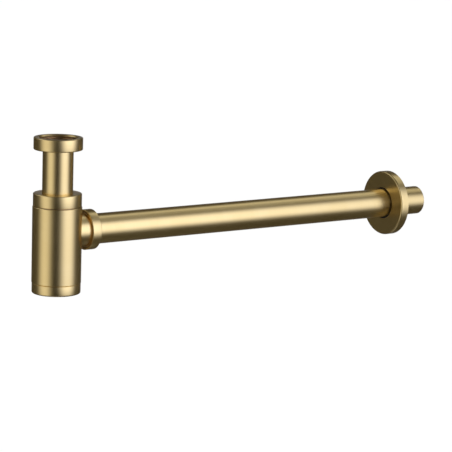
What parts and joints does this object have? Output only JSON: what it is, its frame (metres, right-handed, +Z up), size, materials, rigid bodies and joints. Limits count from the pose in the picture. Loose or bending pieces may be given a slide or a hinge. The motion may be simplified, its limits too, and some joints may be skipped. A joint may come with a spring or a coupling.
{
  "type": "basin trap",
  "caption": "Bottle trap for a washbasin: swivel inlet union, water-seal body with a cleanout cup, and a long outlet tube through a wall flange.",
  "frame": {"origin": "centre of the inlet washer's top face, at the foot of the inlet nut's thread, where the end of the basin waste's tail lands", "axes": "+Z up along the inlet tube, the way the waste's tail leaves; +X along the outlet tube, from the body towards the wall"},
  "size_m": [0.503, 0.072, 0.1628],
  "materials": {
    "brushed_brass": "satin, fine brushed, warm gold",
    "black_rubber": "moulded, matt",
    "white_nylon": "moulded, matt"
  },
  "bodies": {
    "inlet_nut": {"inlet_nut": "brushed_brass"},
    "inlet_ring": {"inlet_slip_ring": "white_nylon"},
    "inlet_tube": {"inlet_tube": "brushed_brass", "inlet_washer": "black_rubber"},
    "cap_seal": {"cap_cone_seal": "black_rubber"},
    "body": {"body_tube": "brushed_brass", "neck_ring": "brushed_brass", "base_ring": "brushed_brass", "outlet_spigot": "brushed_brass", "outlet_cone_seal": "black_rubber"},
    "cap_ring": {"cap_slip_ring": "white_nylon"},
    "cap_nut": {"cap_nut": "brushed_brass"},
    "cup_seal": {"cup_o_ring": "black_rubber"},
    "cup": {"cleanout_cup": "brushed_brass"},
    "outlet_ring": {"outlet_slip_ring": "white_nylon"},
    "outlet_nut": {"outlet_nut": "brushed_brass"},
    "outlet_tube": {"outlet_tube": "brushed_brass"},
    "flange_ring": {"flange_grip_ring": "black_rubber"},
    "flange": {"wall_flange": "brushed_brass"}
  },
  "joints": [
    {"name": "inlet_swivel", "type": "hinge", "parent": "inlet_nut", "child": "inlet_ring", "pos_m": [0, 0, 0], "axis": [0, 0, 1], "continuous": true},
    {"name": "inlet_lift", "type": "slide", "parent": "inlet_ring", "child": "inlet_tube", "axis": [0, 0, 1], "range_m": [0, 0.024]},
    {"name": "height_adjust", "type": "slide", "parent": "inlet_tube", "child": "cap_seal", "axis": [0, 0, 1], "range_m": [-0.016, 0.012]},
    {"name": "body_swivel", "type": "hinge", "parent": "cap_seal", "child": "body", "pos_m": [0, 0, -0.09205], "axis": [0, 0, 1], "continuous": true},
    {"name": "cap_nut_travel", "type": "slide", "parent": "body", "child": "cap_ring", "axis": [0, 0, 1], "range_m": [0, 0.007]},
    {"name": "cap_nut_turn", "type": "hinge", "parent": "cap_ring", "child": "cap_nut", "pos_m": [0, 0, -0.05705], "axis": [0, 0, 1], "range_deg": [0, 1679]},
    {"name": "cup_travel", "type": "slide", "parent": "body", "child": "cup_seal", "axis": [0, 0, 1], "range_m": [-0.007, 0]},
    {"name": "cup_turn", "type": "hinge", "parent": "cup_seal", "child": "cup", "pos_m": [0, 0, -0.1449], "axis": [0, 0, 1], "range_deg": [-1679, 0]},
    {"name": "outlet_nut_travel", "type": "slide", "parent": "body", "child": "outlet_ring", "axis": [1, 0, 0], "range_m": [0, 0.005]},
    {"name": "outlet_nut_turn", "type": "hinge", "parent": "outlet_ring", "child": "outlet_nut", "pos_m": [0.0366, 0, -0.09205], "axis": [1, 0, 0], "range_deg": [0, 1199]},
    {"name": "outlet_tube_slide", "type": "slide", "parent": "body", "child": "outlet_tube", "axis": [1, 0, 0], "range_m": [-0.008, 0.006]},
    {"name": "flange_slide", "type": "slide", "parent": "outlet_tube", "child": "flange_ring", "axis": [1, 0, 0], "range_m": [-0.37, 0.036]},
    {"name": "flange_turn", "type": "hinge", "parent": "flange_ring", "child": "flange", "pos_m": [0.433, 0, -0.09205], "axis": [1, 0, 0], "continuous": true}
  ],
  "couplings": [
    {"joint": "cap_nut_travel", "follows": "cap_nut_turn", "m_per_rad": 0.00023873},
    {"joint": "cup_travel", "follows": "cup_turn", "m_per_rad": 0.00023873},
    {"joint": "outlet_nut_travel", "follows": "outlet_nut_turn", "m_per_rad": 0.00023873}
  ]
}
